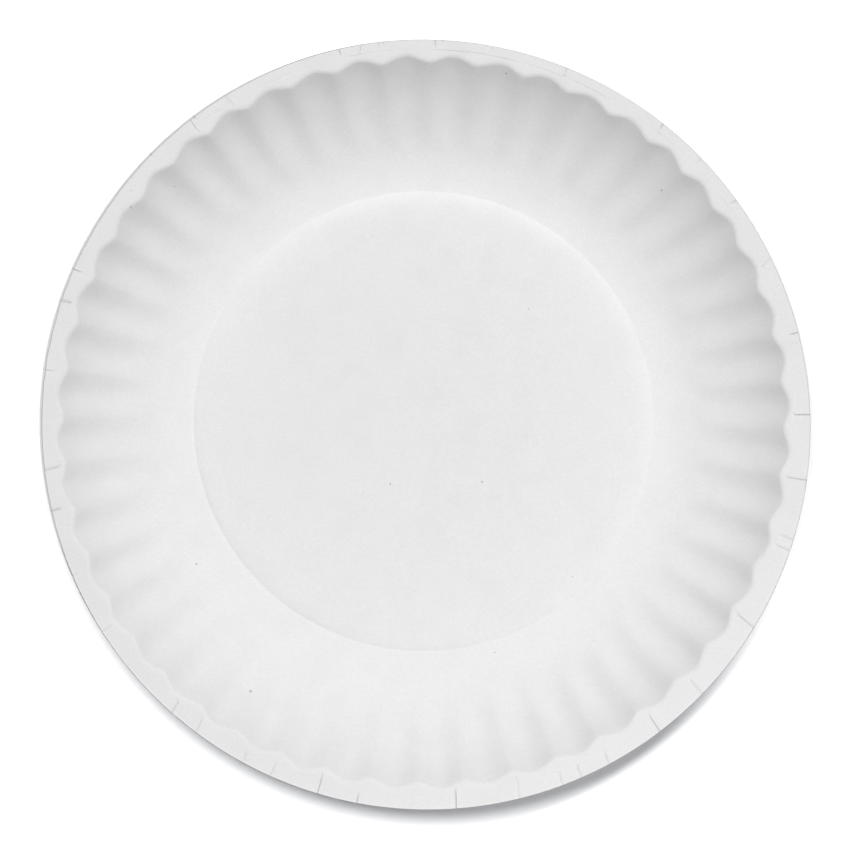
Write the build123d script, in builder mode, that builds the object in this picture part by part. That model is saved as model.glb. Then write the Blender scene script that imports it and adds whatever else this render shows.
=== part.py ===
"""Round paper plate, pressed in one stroke from one sheet of paper board."""

import os
from math import acos, atan2, cos, degrees, hypot, pi, radians, sin, tan

from build123d import *

# Sheet, in millimetres
plate_diameter = 152.4
paper_thickness = 0.4

# The press struck a little off the middle of the cut disc
die_x = -0.3
die_y = 0.45

# Well floor, the step round it and the foot ring that the plate stands on
floor_diameter = 86.2
floor_rise = 0.8
step_width = 2.4
foot_width = 0.9

# Wall and rim, as the upper face of the paper runs
plate_height = 16.0
bend_radius = 19.0
bend_turn = 24.0
rim_width = 4.2

# Flutes, pressed into the wall between the bend and the rim
flute_count = 48
flute_depth = 1.2
flute_phase = 2.8

# The bend and the wall are drawn in straight bands, which keeps the faces few
bend_bands = 3
wall_bands = 3

# Radii from the middle of the well outwards
floor_radius = floor_diameter / 2
foot_inner_radius = floor_radius + step_width
foot_outer_radius = foot_inner_radius + foot_width
bend_end_radius = foot_outer_radius + bend_radius * sin(radians(bend_turn))
scallop_radius = plate_diameter / 2 - rim_width

# The wall follows one arc that leaves the bend without a corner and ends at the rim
bend_end_height = paper_thickness + bend_radius * (1 - cos(radians(bend_turn)))
wall_run = scallop_radius - bend_end_radius
wall_climb = plate_height - bend_end_height
wall_turn = 2 * (degrees(atan2(wall_climb, wall_run)) - bend_turn)
wall_radius = hypot(wall_run, wall_climb) / (2 * sin(radians(wall_turn) / 2))
wall_centre_height = bend_end_height + wall_radius * cos(radians(bend_turn))

# Half a flute runs from a hollow to a ridge; curves with this handle are round where the wall is smooth
half_flute = 180 / flute_count
handle_share = 4 / 3 * tan(radians(half_flute) / 4)

# The die's own planes: one lies flat on the table, the other cuts the plate through its middle
die_plane = Plane((die_x, die_y, 0))
section_plane = Plane((die_x, die_y, 0), x_dir=(1, 0, 0), z_dir=(0, -1, 0))
die_axis = Axis((die_x, die_y, 0), (0, 0, 1))


def bend_point(slope, depth):
    """Radius and height on the bend where it leans at slope, at a depth below its upper face."""
    reach = (bend_radius + depth) * sin(radians(slope))
    climb = (bend_radius + depth) * (1 - cos(radians(slope)))
    return foot_outer_radius + reach, paper_thickness - depth + climb


def wall_point(slope, depth):
    """Radius and height on the wall where it leans at slope, at a depth below its upper face."""
    reach = (wall_radius + depth) * sin(radians(slope)) - wall_radius * sin(radians(bend_turn))
    drop = (wall_radius + depth) * cos(radians(slope))
    return bend_end_radius + reach, wall_centre_height - drop


def rim_slope(depth):
    """Lean of the wall where it meets the rim, at a depth below the upper face of both."""
    return degrees(acos((wall_centre_height + depth - plate_height) / (wall_radius + depth)))


def around(radius, turn, ahead=0):
    """Point at a radius and a turn round the die's middle, moved ahead along its circle's tangent."""
    return (
        radius * cos(radians(turn)) - ahead * sin(radians(turn)),
        radius * sin(radians(turn)) + ahead * cos(radians(turn)),
    )


def half_wave(radius, swing, side):
    """Control points of half a flute, from its hollow to the ridge on one side."""
    ahead = side * handle_share * radius
    ridge_turn = flute_phase + side * half_flute
    return [
        around(radius + swing, flute_phase),
        around(radius + swing, flute_phase, ahead),
        around(radius - swing, ridge_turn, -ahead),
        around(radius - swing, ridge_turn),
    ]


def half_flute_faces(depth, side):
    """Half a flute, from the smooth top of the bend up to its full depth at the rim."""
    sections = []
    for level in range(wall_bands + 1):
        share = level / wall_bands
        slope = bend_turn + share * (rim_slope(depth) - bend_turn)
        radius, height = wall_point(slope, depth)
        with BuildLine(die_plane.offset(height)) as section:
            Bezier(*half_wave(radius, flute_depth / 2 * sin(share * pi / 2), side))
        sections.append(section.wire())
    return Shell.make_loft(sections, ruled=True).faces()


def paper_side(depth):
    """Faces of one side of the paper: floor, step, foot ring, bend, fluted wall and rim."""
    lift = paper_thickness - depth
    bend = [bend_point(bend_turn * band / bend_bands, depth) for band in range(bend_bands + 1)]
    with BuildLine(section_plane) as bowl_line:
        Polyline((0, lift + floor_rise), (floor_radius, lift + floor_rise), (foot_inner_radius, lift), *bend)
    bowl = Shell.revolve(bowl_line.wire(), 360, die_axis)
    flute = [*half_flute_faces(depth, -1), *half_flute_faces(depth, 1)]
    wall = [face.rotate(die_axis, index * 2 * half_flute) for index in range(flute_count) for face in flute]
    scallops = ShapeList(wall).edges().group_by(Axis.Z)[-1]
    rim = Face(Wire.make_circle(plate_diameter / 2, Plane.XY.offset(plate_height - depth)), [Wire(scallops)])
    return [*bowl.faces(), *wall, rim]


with BuildPart() as plate:
    rim_edge = Wire.make_circle(plate_diameter / 2, Plane.XY.offset(plate_height - paper_thickness))
    cut_edge = Shell.extrude(rim_edge, (0, 0, paper_thickness))
    add(Solid(Shell([*paper_side(0), *paper_side(paper_thickness), *cut_edge.faces()])))

plate.part.label = "plate"
os.makedirs("parts", exist_ok=True)
export_step(plate.part, "parts/plate.step")
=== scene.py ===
"""Round paper plate on a white table, seen from straight above."""

import math
import random
from collections import namedtuple

import bpy
from bpy.props import FloatProperty, FloatVectorProperty, IntProperty, PointerProperty
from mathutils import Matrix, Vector


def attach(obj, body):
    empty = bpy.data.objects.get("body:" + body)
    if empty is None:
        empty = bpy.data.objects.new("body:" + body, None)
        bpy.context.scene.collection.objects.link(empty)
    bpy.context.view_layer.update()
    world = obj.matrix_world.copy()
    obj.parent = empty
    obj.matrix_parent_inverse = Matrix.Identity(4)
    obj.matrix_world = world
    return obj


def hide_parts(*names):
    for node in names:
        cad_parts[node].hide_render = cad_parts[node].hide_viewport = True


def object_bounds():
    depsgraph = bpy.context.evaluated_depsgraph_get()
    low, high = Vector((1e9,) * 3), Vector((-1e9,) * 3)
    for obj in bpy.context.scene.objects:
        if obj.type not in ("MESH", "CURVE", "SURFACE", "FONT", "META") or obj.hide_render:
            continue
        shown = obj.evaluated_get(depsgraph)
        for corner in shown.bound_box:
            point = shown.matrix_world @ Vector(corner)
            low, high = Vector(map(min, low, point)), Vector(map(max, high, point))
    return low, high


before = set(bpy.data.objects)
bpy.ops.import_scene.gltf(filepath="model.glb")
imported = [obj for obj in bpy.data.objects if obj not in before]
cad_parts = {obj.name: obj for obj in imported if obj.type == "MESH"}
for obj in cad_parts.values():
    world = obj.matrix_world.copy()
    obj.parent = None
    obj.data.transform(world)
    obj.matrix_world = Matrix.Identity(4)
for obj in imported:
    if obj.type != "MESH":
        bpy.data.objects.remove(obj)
cad_low, cad_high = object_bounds()

bl_info = {
    "name": "Pressed Paper Plate",
    "version": (1, 0, 0),
    "blender": (4, 5, 0),
    "location": "View3D > Sidebar > Paper Plate",
    "description": "Presses a round paper plate from a flat blank and sets it on a white table",
    "category": "Object",
}

PLATE = "plate"
PLATE_BODY = "root"
MM = 0.001
UP = Vector((0.0, 0.0, 1.0))

# The sheet's zones from the middle outwards, with the rows of points on the upper and the lower face
FLOOR, STEP, FOOT, BEND, WALL, SHOULDER, RIM = range(7)
UPPER_ROWS = {FLOOR: 9, STEP: 10, FOOT: 4, BEND: 7, WALL: 16, SHOULDER: 8, RIM: 8}
LOWER_ROWS = {FLOOR: 4, STEP: 6, FOOT: 2, BEND: 5, WALL: 12, SHOULDER: 5, RIM: 3}
COLUMNS_PER_FLUTE = 16

# A row of points round the sheet: zone and share of the zone, depth in the board, share of the cut
# edge's lean, share of a crack's depth and share of bare core with painted shade
Row = namedtuple("Row", "zone share depth lean crack core", defaults=(0.0, 0.0, 0.0, 0.0))

# What the blank's points carry for the press, and the share of bare core and painted shade, kept for the
# colour
CARRIED = ("zone", "share", "depth", "lean", "turn", "dent")
CORE_AND_PAINTED_SHADE = "core"

# Rows down the cut edge where the plies part: depth in the board, share of the edge's lean, and share of
# bare core, with painted shade in the groove between the plies
CUT_ROWS = (
    (0.75, 0.10, 1.0),
    (0.70, 0.30, 1.0),
    (0.20, 0.40, 0.3),
    (0.22, 0.92, 0.0),
    (0.90, 0.97, 0.5),
)

# The cut edge leans close to the rim's edge only, keeps some of its lean where the plies hold together,
# and is ragged
LEAN_POWER = 6.0
HELD_LEAN = 0.15
RAGGED_SHARE = 0.8

# The rim's edge curls up from this share of the rim's width, and steeper outwards by this power
CURL_SHARE = 0.93
CURL_POWER = 60.0

# Creases across the rim where the board was gathered: turn in degrees and share of the rim's width where
# each one starts, its strength, which also sets the painted shade in its bottom, and how far in degrees
# it would slant over the whole width
CREASES = (
    (1.5, 0.0, 0.9, 0.0), (13.8, 0.45, 0.9, 0.2), (24.9, 0.0, 0.5, 0.9), (35.8, 0.5, 0.55, 0.0),
    (43.9, 0.6, 0.6, 0.0), (51.5, 0.5, 0.75, 0.3), (68.3, 0.3, 0.5, 0.0), (79.9, 0.6, 0.4, 0.0),
    (87.4, 0.85, 1.0, 0.0), (88.5, 0.5, 0.75, 0.0), (96.3, 0.85, 1.2, 0.0), (97.0, 0.6, 0.5, 0.0),
    (100.2, 0.35, 0.6, -1.2), (102.9, 0.5, 0.8, 0.1), (121.0, 0.0, 0.45, 0.4), (127.0, 0.75, 1.3, 0.0),
    (127.8, 0.0, 0.7, -0.2), (135.5, 0.85, 1.3, 0.0), (138.0, 0.9, 0.9, 0.0), (140.0, 0.9, 0.8, 0.0),
    (156.1, 0.35, 0.9, 0.1), (161.0, 0.1, 0.9, 0.2), (171.8, 0.35, 0.6, 0.0), (186.6, 0.0, 0.75, 0.3),
    (193.0, 0.3, 0.95, 0.0), (203.3, 0.6, 0.35, 0.0), (212.7, 0.3, 0.45, 0.0), (228.2, 0.0, 0.6, 0.5),
    (232.7, 0.0, 0.45, 0.7), (241.3, 0.25, 0.5, 0.5), (246.2, 0.25, 0.55, 0.0), (253.7, 0.0, 0.8, 0.0),
    (259.8, 0.45, 0.85, -0.1), (274.8, 0.0, 0.9, -0.2), (284.5, 0.0, 0.35, -0.4),
    (291.1, 0.35, 0.5, -0.5), (294.0, 0.3, 0.55, -0.2), (298.7, 0.35, 0.6, -0.5),
    (307.6, 0.1, 0.8, -0.2), (316.1, 0.0, 0.5, -0.3), (328.8, 0.0, 0.75, -0.6),
    (341.2, 0.0, 0.55, -0.4), (342.7, 0.3, 0.55, -0.2), (351.7, 0.0, 0.75, 0.0),
)

# A crease has one lip up and the other down by up to this share of its depth, chosen with this seed,
# and the paper lies flat again at this many half widths of the crease
CREASE_SEED = 7
CREASE_LIP = 0.25
CREASE_FOOT = 3.5

# A crease starts with this share of its depth, deepens outwards and fades down through the board
CREASE_ONSET = 0.3
CREASE_GROWTH = 5.0
CREASE_FADE = 1.5

# A slanting crease carries the paper beside it along, up to this turn in degrees
CREASE_SPREAD = 1.5

# Share of the rim's width over which the rim's points go over from the die's middle to the disc's
SETTLED_SHARE = 0.15

# Fine cracks along the upper side of the rim: first and last turn in degrees, and strength
CRACKS = (
    (2.0, 4.0, 0.4), (24.0, 28.0, 0.6), (33.0, 37.5, 0.6), (39.5, 42.0, 0.5), (48.5, 52.5, 0.7),
    (60.5, 67.0, 0.9), (67.5, 74.5, 0.7), (76.0, 89.0, 1.0), (93.0, 97.5, 0.4), (98.5, 102.5, 0.8),
    (107.0, 109.5, 0.6), (111.0, 116.0, 0.5), (121.0, 124.5, 0.5), (125.5, 127.0, 0.5),
)

# Where the cracks lie across the rim and half their width, as shares of the rim's width, and how deep
# the strongest is against a crease, which also sets the painted shade in the cracks
CRACK_SHARE = 0.36
CRACK_HALF = 0.035
CRACK_STRENGTH = 0.45

# The well floor bows gently all over and falls off fast just before the crease round it
CROWN_POWER = 6.0
STEP_POWER = 30.0

# A flute has its full depth from this share of the wall upwards, and deepens up to there by this power
FLUTE_REACH = 0.6
FLUTE_POWER = 0.65

# A sharp ridge is rounded a little, and its wave is stretched and lowered to run from -1 to 1
CUSP_ROUNDING = 0.04
CUSP_STRETCH = 2.44
CUSP_DROP = 1.488

# Seed of the sheet's noise, and its scale and detail in the flutes' places, the flutes' depths, the cut
# edge and the sheet's low waves
SHEET_SEED = 3.0
SWAY_NOISE = (9.0, 2.0)
STROKE_NOISE = (14.0, 2.0)
RAGGED_NOISE = (40.0, 3.0)
WARP_NOISE = (40.0, 2.0)

# The flutes' noise changes this fast up the wall, and tells this much more on their depths
NOISE_CLIMB = 12.0
STROKE_GAIN = 2.0

# Edges that turn by more than this stay sharp in the shading
SHARP_ANGLE = math.radians(50)

# Dark specks in the paper: turn in degrees, distance from the middle and radius in millimetres
SPECKS = (
    (240.1, 13.8, 0.20), (314.4, 16.2, 0.22), (48.0, 30.7, 0.15), (44.7, 65.9, 0.20), (77.0, 71.3, 0.20),
    (136.5, 68.4, 0.13), (236.9, 63.3, 0.28), (211.6, 53.3, 0.22), (287.0, 47.6, 0.16),
    (313.9, 42.3, 0.14), (141.4, 74.3, 0.14), (143.5, 72.4, 0.20), (51.3, 73.9, 0.14),
)

# Share of a speck's radius within which it is darkest
SPECK_HEART = 0.4

# Places of a Mix node's sockets for colours: the share, both colours and the result
MIX_SHARE, MIX_FIRST, MIX_SECOND, MIX_RESULT = 0, 6, 7, 2

# The lamps, and what the stage's settings hold for each
LAMPS = ("key", "side", "near")
LAMP_SETTINGS = ("turn", "tilt", "distance", "size", "level")


class PlateSizes(bpy.types.PropertyGroup):
    """Sizes of the pressed sheet."""

    plate_diameter: FloatProperty(
        name="Plate Diameter", description="Width of the cut disc", unit="LENGTH",
        default=cad_high.x - cad_low.x,
    )
    plate_height: FloatProperty(
        name="Plate Height", description="Table to the inner line of the rim", unit="LENGTH",
        default=cad_high.z - cad_low.z,
    )
    paper_thickness: FloatProperty(
        name="Paper Thickness", description="Thickness of the board", unit="LENGTH", default=0.4 * MM
    )
    die_x: FloatProperty(
        name="Die X", description="How far the press struck off the disc's middle", unit="LENGTH",
        default=-0.3 * MM,
    )
    die_y: FloatProperty(
        name="Die Y", description="How far the press struck off the disc's middle", unit="LENGTH",
        default=0.45 * MM,
    )
    floor_radius: FloatProperty(
        name="Floor Radius", description="Middle of the well to the crease round it", unit="LENGTH",
        default=45.7 * MM,
    )
    floor_rise: FloatProperty(
        name="Floor Rise", description="Height of the step round the well", unit="LENGTH",
        default=0.85 * MM,
    )
    floor_tilt: FloatProperty(
        name="Floor Tilt", description="How much higher the well floor lies on one side", unit="LENGTH",
        default=0.35 * MM,
    )
    floor_tilt_turn: FloatProperty(
        name="Floor Tilt Turn", description="Side where the well floor lies highest", subtype="ANGLE",
        default=math.radians(160.0),
    )
    floor_crown: FloatProperty(
        name="Floor Crown", description="How far the well floor bows up", unit="LENGTH", default=0.65 * MM
    )
    step_width: FloatProperty(
        name="Step Width", description="Width of the step round the well", unit="LENGTH", default=8.0 * MM
    )
    foot_width: FloatProperty(
        name="Foot Width", description="Width of the ring that the plate stands on", unit="LENGTH",
        default=0.8 * MM,
    )
    bend_radius: FloatProperty(
        name="Bend Radius", description="Radius of the bend from foot to wall", unit="LENGTH",
        default=21.0 * MM,
    )
    bend_turn: FloatProperty(
        name="Bend Turn", description="Lean of the wall where the bend ends", subtype="ANGLE",
        default=math.radians(24.0),
    )
    rim_width: FloatProperty(
        name="Rim Width", description="Width of the flat rim", unit="LENGTH", default=4.2 * MM
    )
    rim_tilt: FloatProperty(
        name="Rim Tilt", description="How much the rim climbs outwards", subtype="ANGLE",
        default=math.radians(2.0),
    )
    shoulder_radius: FloatProperty(
        name="Shoulder Radius", description="Rounding between wall and rim", unit="LENGTH",
        default=1.5 * MM,
    )
    flute_count: IntProperty(name="Flute Count", description="Flutes round the wall", default=48, min=8)
    flute_depth: FloatProperty(
        name="Flute Depth", description="Ridge to hollow at the rim", unit="LENGTH", default=1.3 * MM
    )
    flute_phase: FloatProperty(
        name="Flute Phase", description="Turn of the first hollow", subtype="ANGLE",
        default=math.radians(2.8),
    )
    flute_cusp: FloatProperty(
        name="Flute Cusp", description="Share of a sharp ridge in a flute's wave", subtype="FACTOR",
        default=0.4,
    )
    flute_drift: FloatProperty(
        name="Flute Drift", description="How unevenly the flutes came out", subtype="FACTOR", default=0.45
    )
    sheet_warp: FloatProperty(
        name="Sheet Warp", description="Low waves left in the sheet", unit="LENGTH", default=0.1 * MM
    )
    crease_depth: FloatProperty(
        name="Crease Depth", description="Depth of the creases in the rim", unit="LENGTH",
        default=0.3 * MM,
    )
    crease_width: FloatProperty(
        name="Crease Width", description="Width of the creases in the rim", unit="LENGTH",
        default=0.3 * MM,
    )
    edge_oval: FloatProperty(
        name="Edge Oval", description="How far the cut edge is out of round", unit="LENGTH",
        default=0.28 * MM,
    )
    edge_oval_turn: FloatProperty(
        name="Edge Oval Turn", description="Where the cut edge lies furthest out", subtype="ANGLE",
        default=math.radians(135.0),
    )
    edge_lean: FloatProperty(
        name="Edge Lean", description="How far the plies part at the left edge", unit="LENGTH",
        default=0.5 * MM,
    )
    edge_lean_turn: FloatProperty(
        name="Edge Lean Turn", description="Where the plies part most", subtype="ANGLE",
        default=math.radians(155.0),
    )
    edge_lean_spread: FloatProperty(
        name="Edge Lean Spread", description="Turn over which the plies part", subtype="ANGLE",
        default=math.radians(65.0),
    )
    edge_curl: FloatProperty(
        name="Edge Curl", description="How far the lower edge curls up", unit="LENGTH", default=0.12 * MM
    )
    edge_curl_turn: FloatProperty(
        name="Edge Curl Turn", description="Where the edge curls up most", subtype="ANGLE",
        default=math.radians(262.0),
    )
    edge_curl_spread: FloatProperty(
        name="Edge Curl Spread", description="Turn over which the edge curls up", subtype="ANGLE",
        default=math.radians(75.0),
    )


# Sizes that the blank or the wall's arc takes up, so the press has no input for them
TAKEN_UP = ("plate_diameter", "plate_height", "rim_width", "crease_width")


class PaperFinish(bpy.types.PropertyGroup):
    """Colours and grain of the uncoated board."""

    paper_colour: FloatVectorProperty(
        name="Paper", description="Colour of the board", subtype="COLOR", size=3,
        default=(0.891, 0.88, 0.876),
    )
    shade_colour: FloatVectorProperty(
        name="Grain Shade", description="Colour of the darker fibres", subtype="COLOR", size=3,
        default=(0.770, 0.758, 0.755),
    )
    speck_colour: FloatVectorProperty(
        name="Specks", description="Colour of the specks in the pulp", subtype="COLOR", size=3,
        default=(0.36, 0.35, 0.34),
    )
    # Painted shade: this grey darkens the bottoms of creases and cracks, where shade falls, and the cut
    # edge, where it is partly the board's grey core and partly painted shade in the groove between the
    # parted plies
    core_colour: FloatVectorProperty(
        name="Core", description="Colour of the bare core in the cut edge, creases and cracks",
        subtype="COLOR", size=3, default=(0.62, 0.615, 0.61),
    )
    grain_size: FloatProperty(
        name="Grain Size", description="Width of one patch of fibres", unit="LENGTH", default=0.5 * MM
    )
    cloud_size: FloatProperty(
        name="Cloud Size", description="Width of the faint clouds in the pulp", unit="LENGTH",
        default=6.0 * MM,
    )
    tooth_height: FloatProperty(
        name="Tooth Height", description="Height of the paper's tooth", unit="LENGTH", default=0.03 * MM
    )
    roughness: FloatProperty(
        name="Roughness", description="Mattness of the board", subtype="FACTOR", default=0.88
    )
    gloss: FloatProperty(
        name="Gloss", description="Strength of the board's faint reflections", subtype="FACTOR",
        default=0.2,
    )


class StageSettings(bpy.types.PropertyGroup):
    """Table, lamps and camera."""

    table_size: FloatProperty(
        name="Table Size", description="Side of the table", unit="LENGTH", default=8.0
    )
    table_colour: FloatVectorProperty(
        name="Table", description="Colour of the table, which tints the shadow", subtype="COLOR", size=3,
        default=(0.405, 0.405, 0.407),
    )
    table_lift: FloatProperty(
        name="Table Lift", description="How much whiter the table shows than the light it throws back",
        default=4.55,
    )
    sky_level: FloatProperty(name="Sky Level", description="Light from all round", default=0.034)
    sky_colour: FloatVectorProperty(
        name="Sky", description="Colour of the light from all round", subtype="COLOR", size=3,
        default=(0.8, 0.93, 1.2), soft_max=2.0,
    )
    key_level: FloatProperty(name="Key Level", description="Light from the lamp overhead", default=0.47)
    key_turn: FloatProperty(
        name="Key Turn", description="Side that the lamp overhead hangs to", subtype="ANGLE",
        default=math.radians(133),
    )
    key_tilt: FloatProperty(
        name="Key Tilt", description="Lean of the lamp from overhead", subtype="ANGLE",
        default=math.radians(10.8),
    )
    key_distance: FloatProperty(
        name="Key Distance", description="Lamp to plate", unit="LENGTH", default=2.0
    )
    key_size: FloatProperty(
        name="Key Size", description="Width of the lamp overhead", unit="LENGTH", default=0.48
    )
    side_level: FloatProperty(name="Side Level", description="Light from the side lamp", default=0.368)
    side_turn: FloatProperty(
        name="Side Turn", description="Side that the side lamp stands on", subtype="ANGLE",
        default=math.radians(56),
    )
    side_tilt: FloatProperty(
        name="Side Tilt", description="Lean of the side lamp from overhead", subtype="ANGLE",
        default=math.radians(27),
    )
    side_distance: FloatProperty(
        name="Side Distance", description="Lamp to plate", unit="LENGTH", default=2.0
    )
    side_size: FloatProperty(
        name="Side Size", description="Width of the side lamp", unit="LENGTH", default=0.46
    )
    near_level: FloatProperty(name="Near Level", description="Light from the near lamp", default=0.075)
    near_turn: FloatProperty(
        name="Near Turn", description="Side that the near lamp stands on", subtype="ANGLE",
        default=math.radians(298),
    )
    near_tilt: FloatProperty(
        name="Near Tilt", description="Lean of the near lamp from overhead", subtype="ANGLE",
        default=math.radians(53),
    )
    near_distance: FloatProperty(
        name="Near Distance", description="Lamp to plate", unit="LENGTH", default=0.18
    )
    near_size: FloatProperty(
        name="Near Size", description="Width of the near lamp", unit="LENGTH", default=0.2
    )
    camera_height: FloatProperty(
        name="Camera Height", description="Table to lens", unit="LENGTH", default=3.0
    )
    camera_lean: FloatProperty(
        name="Camera Lean", description="Lean of the lens from straight overhead", subtype="ANGLE",
        default=math.radians(0.87),
    )
    camera_turn: FloatProperty(
        name="Camera Turn", description="Side that the lens leans to", subtype="ANGLE",
        default=math.radians(101),
    )
    view_width: FloatProperty(
        name="View Width", description="Width of the picture at the rim", unit="LENGTH",
        default=168.1 * MM,
    )
    view_x: FloatProperty(
        name="View X", description="Middle of the picture", unit="LENGTH", default=-0.03 * MM
    )
    view_y: FloatProperty(
        name="View Y", description="Middle of the picture", unit="LENGTH", default=-0.06 * MM
    )


def feed(tree, entry, value):
    """Link a node's entry to a reading or a socket, or set it to a plain number or colour."""
    source = value.socket if isinstance(value, Reading) else value
    if isinstance(source, bpy.types.NodeSocket):
        tree.links.new(source, entry)
    else:
        entry.default_value = source


class Reading:
    """A number that the press tree works out at every point of the sheet."""

    def __init__(self, tree, socket):
        self.tree = tree
        self.socket = socket

    def work_out(self, operation, *others):
        node = self.tree.nodes.new("ShaderNodeMath")
        node.operation = operation
        for entry, value in zip(node.inputs, (self, *others)):
            feed(self.tree, entry, value)
        return Reading(self.tree, node.outputs[0])

    def __add__(self, other):
        return self.work_out("ADD", other)

    def __sub__(self, other):
        return self.work_out("SUBTRACT", other)

    def __mul__(self, other):
        return self.work_out("MULTIPLY", other)

    def __truediv__(self, other):
        return self.work_out("DIVIDE", other)

    def __pow__(self, other):
        return self.work_out("POWER", other)

    def __rsub__(self, other):
        return self * -1.0 + other

    __radd__ = __add__
    __rmul__ = __mul__

    def sin(self):
        return self.work_out("SINE")

    def cos(self):
        return self.work_out("COSINE")

    def tan(self):
        return self.work_out("TANGENT")

    def arctan(self):
        return self.work_out("ARCTANGENT")

    def root(self):
        return self.work_out("SQRT")

    def at_least(self, other):
        return self.work_out("MAXIMUM", other)

    def at_most(self, other):
        return self.work_out("MINIMUM", other)

    def equals(self, other, within=0.5):
        """1 where two whole numbers are the same, and 0 elsewhere."""
        return self.work_out("COMPARE", other, within)

    def eased(self):
        """Smooth step from 0 to 1."""
        held = self.at_least(0.0).at_most(1.0)
        return held * held * (3.0 - held * 2.0)


def wall_arc(sizes):
    """Radius of the wall's arc and its lean at the rim, from the bend's end to the rim's inner line."""
    foot_outer = sizes.floor_radius + sizes.foot_width
    bend_end_radius = foot_outer + sizes.bend_radius * math.sin(sizes.bend_turn)
    bend_end_height = sizes.paper_thickness + sizes.bend_radius * (1 - math.cos(sizes.bend_turn))
    run = sizes.plate_diameter / 2 - sizes.rim_width - bend_end_radius
    climb = sizes.plate_height - bend_end_height
    turn = 2 * (math.atan2(climb, run) - sizes.bend_turn)
    radius = math.hypot(run, climb) / (2 * math.sin(turn / 2))
    shoulder_share = sizes.shoulder_radius * math.tan((sizes.bend_turn + turn) / 2) / radius
    return radius, sizes.bend_turn + turn - shoulder_share


def face_rows(zone_rows, depth):
    """Rows of points over one face of the sheet, closer together where the step meets the foot."""
    for zone, rows in zone_rows.items():
        for row in range(rows):
            share = row / rows
            if zone == STEP:
                share = 1 - (1 - share) ** 2
            elif zone == FOOT:
                share = share**2
            yield Row(zone, share, depth, lean=depth)


def blank_rows():
    """Rows of points over the upper face, down the cut edge and back under."""
    cracks = [Row(RIM, CRACK_SHARE + side * CRACK_HALF, crack=1.0 - abs(side)) for side in (-1, 0, 1)]
    upper = sorted([*face_rows(UPPER_ROWS, 0.0), *cracks, Row(RIM, CURL_SHARE)])
    parted = [Row(RIM, 1.0, depth, lean, core=core) for depth, lean, core in CUT_ROWS]
    cut = [Row(RIM, 1.0), *parted, Row(RIM, 1.0, depth=1.0, lean=1.0)]
    lower = list(face_rows(LOWER_ROWS, 1.0))
    return [*upper[1:], *cut, *reversed(lower[1:])]


def blank_columns(sizes):
    """Columns of points round the sheet: turn, where a crease starts across the rim, and its dent."""
    plain = sizes.flute_count * COLUMNS_PER_FLUTE
    half = sizes.crease_width / sizes.plate_diameter
    chance = random.Random(CREASE_SEED)
    columns = []
    for turn, start, strength, _ in CREASES:
        lip = chance.uniform(-CREASE_LIP, CREASE_LIP)
        section = ((-CREASE_FOOT, 0.0), (-1.0, lip), (0.0, -1.0), (1.0, -lip), (CREASE_FOOT, 0.0))
        for offset, dent in section:
            columns.append((math.radians(turn) + offset * half, start, dent * strength))
    creased = [column[0] for column in columns]
    for index in range(plain):
        turn = math.tau * index / plain
        if all(abs(turn - other) > math.tau / plain / 2 for other in creased):
            columns.append((turn, 1.0, 0.0))
    return sorted(columns)


def crack_depth(turn):
    """How deep the cracks along the rim are at a turn, against the deepest one."""
    degrees = math.degrees(turn)
    return max((depth for first, last, depth in CRACKS if first <= degrees <= last), default=0.0)


def rim_shift(sizes, turn, across):
    """How far in radians a point of the rim lies beside its column, to run creases as on the disc."""
    aside = (sizes.die_y * math.cos(turn) - sizes.die_x * math.sin(turn)) / (sizes.plate_diameter / 2)
    shift = aside * (across - 1.0) * min(1.0, across / SETTLED_SHARE)
    for centre, start, _, slant in CREASES:
        near = max(0.0, 1.0 - abs(math.degrees(turn) - centre) / CREASE_SPREAD)
        shift += math.radians(slant) * near * max(0.0, across - start)
    return shift


def blank_point(sizes, row, column):
    """Turn of a point of the blank, the press's dent there and its share of bare core and painted shade.
    """
    turn, start, dent = column
    if row.zone != RIM:
        return turn, 0.0, 0.0
    begun = min(1.0, max(0.0, (row.share - start) * CREASE_GROWTH + CREASE_ONSET))
    kept = max(0.0, 1.0 - row.depth * CREASE_FADE)
    pressed = dent * begun * kept - row.crack * crack_depth(turn) * CRACK_STRENGTH
    # Painted shade: the bottoms of creases and cracks take the grey as deep as they press in
    core = max(row.core, min(1.0, -pressed))
    return turn + rim_shift(sizes, turn, row.share), pressed, core


def blank_faces(rows, columns):
    """Faces of the closed blank: four-sided ones between the rows, and triangles round both middles."""
    under = 1 + (rows - 1) * columns
    last = under + columns
    faces = []
    for column in range(columns):
        beside = (column + 1) % columns
        faces.append((0, 1 + column, 1 + beside))
        for row in range(rows - 1):
            inner = 1 + row * columns
            outer = inner + columns
            faces.append((inner + column, outer + column, outer + beside, inner + beside))
        faces.append((last, under + beside, under + column))
    return faces


def make_blank(sizes):
    """Flat closed disc whose points carry where they lie on the sheet, for the press to shape."""
    rows = blank_rows()
    columns = blank_columns(sizes)
    points = [(0.0, 0.0, 0.0)]
    carried = [(FLOOR, 0.0, 0.0, 0.0, 0.0, 0.0, 0.0)]
    for ring, row in enumerate(rows, start=1):
        for column in columns:
            turn, dent, core = blank_point(sizes, row, column)
            points.append((math.cos(turn) * ring, math.sin(turn) * ring, -row.depth))
            carried.append((row.zone, row.share, row.depth, row.lean, turn, dent, core))
    points.append((0.0, 0.0, -1.0))
    carried.append((FLOOR, 0.0, 1.0, 1.0, 0.0, 0.0, 0.0))
    mesh = bpy.data.meshes.new("paper_blank")
    mesh.from_pydata(points, [], blank_faces(len(rows), len(columns)))
    for name, numbers in zip((*CARRIED, CORE_AND_PAINTED_SHADE), zip(*carried)):
        mesh.attributes.new(name, "FLOAT", "POINT").data.foreach_set("value", numbers)
    blank = bpy.data.objects.new("paper_blank", mesh)
    bpy.context.scene.collection.objects.link(blank)
    return blank


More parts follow.
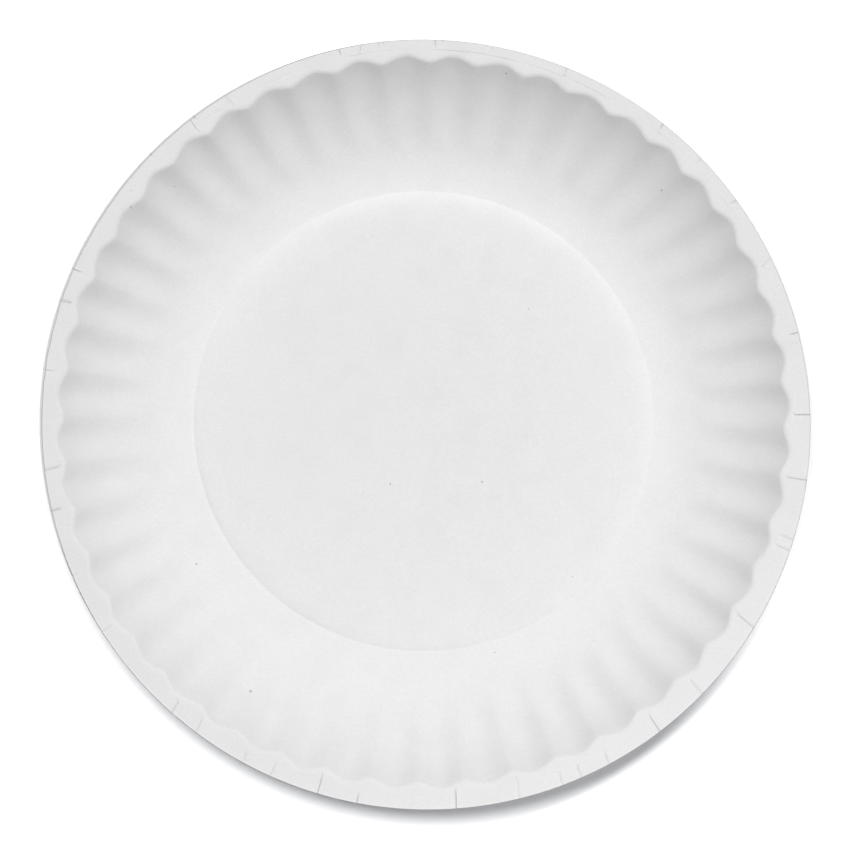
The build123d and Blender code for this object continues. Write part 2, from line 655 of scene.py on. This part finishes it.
def press_sizes(sizes):
    """Named inputs of the press tree with their values."""
    wall_radius, wall_lean = wall_arc(sizes)
    values = {
        "Plate Radius": sizes.plate_diameter / 2,
        "Wall Radius": wall_radius,
        "Wall Lean": wall_lean,
        "Seed": SHEET_SEED,
    }
    for name in PlateSizes.__annotations__:
        if name not in TAKEN_UP:
            values[name.replace("_", " ").title()] = float(getattr(sizes, name))
    return values


def sheet_section(size, zone, share, turn):
    """The paper's upper face along its section at a turn.

    Gives its radius, height and lean, how far the flutes swing there, and the share across the rim.
    """
    thickness = size["Paper Thickness"]
    floor_start = size["Floor Radius"] - size["Step Width"]
    foot_outer = size["Floor Radius"] + size["Foot Width"]
    step_rise = size["Floor Rise"] + size["Floor Tilt"] * (turn - size["Floor Tilt Turn"]).cos()

    def on_floor(radius):
        reach = radius / size["Floor Radius"]
        crown = size["Floor Crown"] * (1.0 - reach**CROWN_POWER)
        rise = size["Floor Rise"] + (step_rise - size["Floor Rise"]) * reach
        rise -= step_rise * reach**STEP_POWER
        fall = size["Floor Crown"] * reach ** (CROWN_POWER - 1.0) * CROWN_POWER
        fall += step_rise * reach ** (STEP_POWER - 1.0) * STEP_POWER
        return radius, thickness + crown + rise, (fall / size["Floor Radius"]).arctan() * -1.0

    def on_bend(lean):
        return (
            foot_outer + size["Bend Radius"] * lean.sin(),
            thickness + size["Bend Radius"] * (1.0 - lean.cos()),
            lean,
        )

    bend_end = on_bend(size["Bend Turn"])

    def on_wall(lean):
        return (
            bend_end[0] + size["Wall Radius"] * (lean.sin() - size["Bend Turn"].sin()),
            bend_end[1] + size["Wall Radius"] * (size["Bend Turn"].cos() - lean.cos()),
            lean,
        )

    wall_end = on_wall(size["Wall Lean"])

    def on_shoulder(lean):
        return (
            wall_end[0] + size["Shoulder Radius"] * (size["Wall Lean"].sin() - lean.sin()),
            wall_end[1] + size["Shoulder Radius"] * (lean.cos() - size["Wall Lean"].cos()),
            lean,
        )

    rim_start = on_shoulder(size["Rim Tilt"])
    rim_run = share * (size["Plate Radius"] - rim_start[0])
    sections = (
        on_floor(share * floor_start),
        on_floor(floor_start + share * size["Step Width"]),
        (size["Floor Radius"] + share * size["Foot Width"], thickness, 0.0),
        on_bend(share * size["Bend Turn"]),
        on_wall(size["Bend Turn"] + share * (size["Wall Lean"] - size["Bend Turn"])),
        on_shoulder(size["Wall Lean"] + share * (size["Rim Tilt"] - size["Wall Lean"])),
        (rim_start[0] + rim_run, rim_start[1] + rim_run * size["Rim Tilt"].tan(), size["Rim Tilt"]),
    )
    on = [zone.equals(float(number)) for number in range(len(sections))]
    radius, height, lean = (
        sum(here * section[index] for here, section in zip(on, sections)) for index in range(3)
    )
    deepened = ((share / FLUTE_REACH) ** FLUTE_POWER).at_most(1.0)
    fluted = on[WALL] * (deepened * (math.pi / 2)).sin()
    fluted += on[SHOULDER] + on[RIM] * (1.0 - (share / CRACK_SHARE).eased())
    return radius, height, lean, fluted * size["Flute Depth"] * 0.5, on[RIM] * share


def press_tree(paper):
    """Node tree that presses the flat blank into the plate."""
    tree = bpy.data.node_groups.new("Press Plate", "GeometryNodeTree")
    tree.interface.new_socket(name="Sheet", in_out="INPUT", socket_type="NodeSocketGeometry")
    tree.interface.new_socket(name="Plate", in_out="OUTPUT", socket_type="NodeSocketGeometry")
    for name in press_sizes(bpy.context.scene.plate_sizes):
        tree.interface.new_socket(name=name, in_out="INPUT", socket_type="NodeSocketFloat")
    entry = tree.nodes.new("NodeGroupInput")
    size = {socket.name: Reading(tree, socket) for socket in entry.outputs if socket.type == "VALUE"}

    def carried(name):
        node = tree.nodes.new("GeometryNodeInputNamedAttribute")
        node.data_type = "FLOAT"
        node.inputs["Name"].default_value = name
        return Reading(tree, node.outputs["Attribute"])

    zone, share, depth_share, lean_share, turn, dent = (carried(name) for name in CARRIED)
    radius, height, lean, swing, across = sheet_section(size, zone, share, turn)

    def vector(x, y, z):
        node = tree.nodes.new("ShaderNodeCombineXYZ")
        for socket, value in zip(node.inputs, (x, y, z)):
            feed(tree, socket, value)
        return node.outputs[0]

    def noise(place, scale, detail):
        """Noise that swings about 0."""
        node = tree.nodes.new("ShaderNodeTexNoise")
        node.noise_dimensions = "4D"
        node.inputs["Scale"].default_value = scale
        node.inputs["Detail"].default_value = detail
        feed(tree, node.inputs["Vector"], place)
        feed(tree, node.inputs["W"], size["Seed"])
        return Reading(tree, node.outputs[0]) - 0.5

    def beside(centre, spread):
        """1 at the turn of a centre, easing to 0 where its spread ends."""
        narrow = size[spread].cos()
        return (((turn - size[centre]).cos() - narrow) / (1.0 - narrow)).eased()

    # Flutes
    up_the_wall = vector(turn.cos(), turn.sin(), radius * NOISE_CLIMB)
    sway = noise(up_the_wall, *SWAY_NOISE) * size["Flute Drift"]
    stroke = 1.0 + noise(up_the_wall, *STROKE_NOISE) * size["Flute Drift"] * STROKE_GAIN
    phase = (turn - size["Flute Phase"]) * size["Flute Count"] + sway
    cusp = ((phase * 0.5).cos() ** 2.0 + CUSP_ROUNDING).root() * CUSP_STRETCH - CUSP_DROP
    wave = phase.cos() * (1.0 - size["Flute Cusp"]) + cusp * size["Flute Cusp"]

    # Cut edge, whose plies lie in their order where they hold together
    parted = beside("Edge Lean Turn", "Edge Lean Spread")
    depth = (lean_share + (depth_share - lean_share) * parted) * size["Paper Thickness"]
    ragged = 1.0 + noise(vector(turn.cos(), turn.sin(), 0.0), *RAGGED_NOISE) * RAGGED_SHARE
    leaning = (parted * (1.0 - HELD_LEAN) + HELD_LEAN) * ragged * across**LEAN_POWER
    cut = (lean_share - 1.0) * leaning * size["Edge Lean"]
    oval = ((turn - size["Edge Oval Turn"]) * 2.0).cos() * size["Edge Oval"] * across
    curl = beside("Edge Curl Turn", "Edge Curl Spread") * size["Edge Curl"] * across**CURL_POWER

    # Where the press takes each point
    place = vector(radius * turn.cos(), radius * turn.sin(), 0.0)
    warp = noise(place, *WARP_NOISE) * size["Sheet Warp"] * (radius / size["Plate Radius"])
    reach = radius + swing * stroke * wave + depth * lean.sin() + cut + oval
    here = vector(
        size["Die X"] * (1.0 - across) + reach * turn.cos(),
        size["Die Y"] * (1.0 - across) + reach * turn.sin(),
        height - depth * lean.cos() + dent * size["Crease Depth"] + curl + warp,
    )

    press = tree.nodes.new("GeometryNodeSetPosition")
    smooth = tree.nodes.new("GeometryNodeSetShadeSmooth")
    realize = tree.nodes.new("GeometryNodeRealizeInstances")
    coat = tree.nodes.new("GeometryNodeSetMaterial")
    leave = tree.nodes.new("NodeGroupOutput")
    coat.inputs["Material"].default_value = paper
    tree.links.new(entry.outputs["Sheet"], press.inputs["Geometry"])
    tree.links.new(here, press.inputs["Position"])
    tree.links.new(press.outputs[0], smooth.inputs["Geometry"])
    tree.links.new(smooth.outputs[0], realize.inputs["Geometry"])
    tree.links.new(realize.outputs[0], coat.inputs["Geometry"])
    tree.links.new(coat.outputs[0], leave.inputs["Plate"])
    return tree


def paper_material(finish):
    """Uncoated white board: clouded pulp, fine grain, a little tooth, a few dark specks, and a grey for
    the cut edge's core and the painted shade in creases, cracks and the groove between the plies.
    """
    material = bpy.data.materials.new("white_paper_board")
    material.use_nodes = True
    tree = material.node_tree
    nodes, links = tree.nodes, tree.links
    board = nodes["Principled BSDF"]
    board.inputs["Roughness"].default_value = finish.roughness
    board.inputs["Specular IOR Level"].default_value = finish.gloss
    spot = nodes.new("ShaderNodeTexCoord").outputs["Object"]

    def noise(size, detail, roughness):
        node = nodes.new("ShaderNodeTexNoise")
        node.inputs["Scale"].default_value = 1.0 / size
        node.inputs["Detail"].default_value = detail
        node.inputs["Roughness"].default_value = roughness
        links.new(spot, node.inputs["Vector"])
        return node.outputs[0]

    def mixed(share, first, second):
        node = nodes.new("ShaderNodeMix")
        node.data_type = "RGBA"
        for entry, value in ((MIX_SHARE, share), (MIX_FIRST, first), (MIX_SECOND, second)):
            feed(tree, node.inputs[entry], value)
        return node.outputs[MIX_RESULT]

    def span(value, low, high):
        """0 where a value is low, rising to 1 where it is high."""
        node = nodes.new("ShaderNodeMapRange")
        node.inputs["From Min"].default_value = low
        node.inputs["From Max"].default_value = high
        links.new(value, node.inputs["Value"])
        return node.outputs["Result"]

    def away_from(turn, away):
        """Distance in plan from a place on the plate."""
        flat = nodes.new("ShaderNodeVectorMath")
        flat.operation = "MULTIPLY"
        flat.inputs[1].default_value = (1.0, 1.0, 0.0)
        gap = nodes.new("ShaderNodeVectorMath")
        gap.operation = "DISTANCE"
        gap.inputs[1].default_value = (away * math.cos(turn), away * math.sin(turn), 0.0)
        links.new(spot, flat.inputs[0])
        links.new(flat.outputs[0], gap.inputs[0])
        return gap.outputs["Value"]

    paper, shade, speck, bare_and_shaded = (
        (*colour, 1.0)
        for colour in (finish.paper_colour, finish.shade_colour, finish.speck_colour, finish.core_colour)
    )
    grain = noise(finish.grain_size, detail=5.0, roughness=0.75)
    cloud = noise(finish.cloud_size, detail=3.0, roughness=0.5)
    colour = mixed(span(grain, low=0.35, high=1.0), paper, shade)
    colour = mixed(span(cloud, low=0.45, high=1.8), colour, shade)
    # Bare core on the cut edge, and painted shade in the bottoms of creases and cracks and in the groove
    # between the parted plies
    core = nodes.new("ShaderNodeAttribute")
    core.attribute_name = CORE_AND_PAINTED_SHADE
    colour = mixed(core.outputs["Fac"], colour, bare_and_shaded)
    for turn, away, radius in SPECKS:
        gap = away_from(math.radians(turn), away * MM)
        colour = mixed(span(gap, low=radius * MM, high=radius * MM * SPECK_HEART), colour, speck)
    links.new(colour, board.inputs["Base Color"])
    tooth = nodes.new("ShaderNodeBump")
    tooth.inputs["Strength"].default_value = 1.0
    tooth.inputs["Distance"].default_value = finish.tooth_height
    links.new(grain, tooth.inputs["Height"])
    links.new(tooth.outputs["Normal"], board.inputs["Normal"])
    return material


class PAPERPLATE_OT_press_plate(bpy.types.Operator):
    """Press the plate from a flat disc of board"""

    bl_idname = "paper_plate.press_plate"
    bl_label = "Press Plate"

    def execute(self, context):
        sizes = context.scene.plate_sizes
        blank = make_blank(sizes)
        tree = press_tree(paper_material(context.scene.paper_finish))
        press = blank.modifiers.new("Press", "NODES")
        press.node_group = tree
        values = press_sizes(sizes)
        for item in tree.interface.items_tree:
            if item.in_out == "INPUT" and item.name in values:
                press[item.identifier] = values[item.name]
        graph = context.evaluated_depsgraph_get()
        mesh = bpy.data.meshes.new_from_object(blank.evaluated_get(graph), depsgraph=graph)
        mesh.name = "pressed_plate"
        bpy.data.objects.remove(blank)
        for name in CARRIED:
            mesh.attributes.remove(mesh.attributes[name])
        mesh.set_sharp_from_angle(angle=SHARP_ANGLE)
        plate = bpy.data.objects.new("pressed_plate", mesh)
        context.scene.collection.objects.link(plate)
        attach(plate, PLATE_BODY)
        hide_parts(PLATE)
        return {"FINISHED"}


def seen_ray(tree):
    """1 for what the camera sees, straight on or in gloss and glass, and 0 for the light on the plate."""
    path = tree.nodes.new("ShaderNodeLightPath")
    total = path.outputs["Is Camera Ray"]
    for name in ("Is Glossy Ray", "Is Transmission Ray"):
        either = tree.nodes.new("ShaderNodeMath")
        either.operation = "MAXIMUM"
        tree.links.new(total, either.inputs[0])
        tree.links.new(path.outputs[name], either.inputs[1])
        total = either.outputs[0]
    return total


def table_material(stage):
    """White table that keeps the plate's shadow."""
    material = bpy.data.materials.new("white_table")
    material.use_nodes = True
    tree = material.node_tree
    tree.nodes.remove(tree.nodes["Principled BSDF"])
    choice = tree.nodes.new("ShaderNodeMixShader")
    tree.links.new(seen_ray(tree), choice.inputs[0])
    for entry, lift in ((choice.inputs[1], 1.0), (choice.inputs[2], stage.table_lift)):
        surface = tree.nodes.new("ShaderNodeBsdfDiffuse")
        surface.inputs["Color"].default_value = (*(Vector(stage.table_colour) * lift), 1.0)
        tree.links.new(surface.outputs[0], entry)
    tree.links.new(choice.outputs[0], tree.nodes["Material Output"].inputs["Surface"])
    return material


def lay_table(scene, stage):
    """White table under the plate."""
    half = stage.table_size / 2
    corners = [(-half, -half, 0), (half, -half, 0), (half, half, 0), (-half, half, 0)]
    mesh = bpy.data.meshes.new("table")
    mesh.from_pydata(corners, [], [(0, 1, 2, 3)])
    mesh.materials.append(table_material(stage))
    table = bpy.data.objects.new("table", mesh)
    scene.collection.objects.link(table)


def light_sky(scene, stage):
    """Dim light from all round the plate, where the camera itself sees plain white."""
    sky = bpy.data.worlds.new("studio")
    sky.use_nodes = True
    tree = sky.node_tree
    dim = tree.nodes["Background"]
    dim.inputs["Strength"].default_value = stage.sky_level
    dim.inputs["Color"].default_value = (*stage.sky_colour, 1.0)
    white = tree.nodes.new("ShaderNodeBackground")
    white.inputs["Color"].default_value = (1.0, 1.0, 1.0, 1.0)
    choice = tree.nodes.new("ShaderNodeMixShader")
    tree.links.new(seen_ray(tree), choice.inputs[0])
    tree.links.new(dim.outputs[0], choice.inputs[1])
    tree.links.new(white.outputs[0], choice.inputs[2])
    tree.links.new(choice.outputs[0], tree.nodes["World Output"].inputs["Surface"])
    scene.world = sky


def way_up(turn, tilt):
    """Direction that leans from straight up towards a turn."""
    return Vector((math.sin(tilt) * math.cos(turn), math.sin(tilt) * math.sin(turn), math.cos(tilt)))


def hang_lamp(name, turn, tilt, distance, width, level):
    """Round soft lamp aimed at the plate; level 1 alone shows a flat surface in its own colour."""
    lamp = bpy.data.lights.new(name, "AREA")
    lamp.shape = "DISK"
    lamp.size = width
    lamp.energy = level * math.pi**2 * distance**2 / math.cos(tilt)
    light = bpy.data.objects.new(name, lamp)
    out = way_up(turn, tilt)
    light.location = out * distance
    light.rotation_euler = UP.rotation_difference(out).to_euler()
    light.visible_camera = False
    bpy.context.scene.collection.objects.link(light)


def set_camera(scene, stage):
    """Camera almost straight above the plate, with its picture as wide as set at the rim."""
    rim_height = scene.plate_sizes.plate_height
    rim_distance = stage.camera_height - rim_height
    camera = bpy.data.cameras.new("camera")
    camera.lens = camera.sensor_width * rim_distance / stage.view_width
    eye = bpy.data.objects.new("camera", camera)
    out = way_up(stage.camera_turn, stage.camera_lean)
    eye.location = Vector((stage.view_x, stage.view_y, rim_height)) + out * rim_distance
    eye.rotation_euler = UP.rotation_difference(out).to_euler()
    scene.collection.objects.link(eye)
    scene.camera = eye
    scene.view_settings.view_transform = "Standard"


class PAPERPLATE_OT_set_stage(bpy.types.Operator):
    """Lay the white table, hang the lamps and set the camera"""

    bl_idname = "paper_plate.set_stage"
    bl_label = "Set Stage"

    def execute(self, context):
        scene = context.scene
        stage = scene.stage_settings
        lay_table(scene, stage)
        light_sky(scene, stage)
        for name in LAMPS:
            hang_lamp(f"{name}_lamp", *(getattr(stage, f"{name}_{part}") for part in LAMP_SETTINGS))
        set_camera(scene, stage)
        return {"FINISHED"}


class PAPERPLATE_PT_sidebar(bpy.types.Panel):
    """Sizes, finish and stage of the paper plate"""

    bl_label = "Paper Plate"
    bl_idname = "PAPERPLATE_PT_sidebar"
    bl_space_type = "VIEW_3D"
    bl_region_type = "UI"
    bl_category = "Paper Plate"

    def draw(self, context):
        scene = context.scene
        for group, operator in (
            (scene.plate_sizes, PAPERPLATE_OT_press_plate.bl_idname),
            (scene.paper_finish, None),
            (scene.stage_settings, PAPERPLATE_OT_set_stage.bl_idname),
        ):
            box = self.layout.box()
            for name in group.__annotations__:
                box.prop(group, name)
            if operator:
                box.operator(operator)


CLASSES = (
    PlateSizes,
    PaperFinish,
    StageSettings,
    PAPERPLATE_OT_press_plate,
    PAPERPLATE_OT_set_stage,
    PAPERPLATE_PT_sidebar,
)


def register():
    for item in CLASSES:
        bpy.utils.register_class(item)
    bpy.types.Scene.plate_sizes = PointerProperty(type=PlateSizes)
    bpy.types.Scene.paper_finish = PointerProperty(type=PaperFinish)
    bpy.types.Scene.stage_settings = PointerProperty(type=StageSettings)


def unregister():
    del bpy.types.Scene.stage_settings
    del bpy.types.Scene.paper_finish
    del bpy.types.Scene.plate_sizes
    for item in reversed(CLASSES):
        bpy.utils.unregister_class(item)


def main():
    register()
    bpy.ops.paper_plate.press_plate()
    bpy.ops.paper_plate.set_stage()


if __name__ == "__main__":
    main()
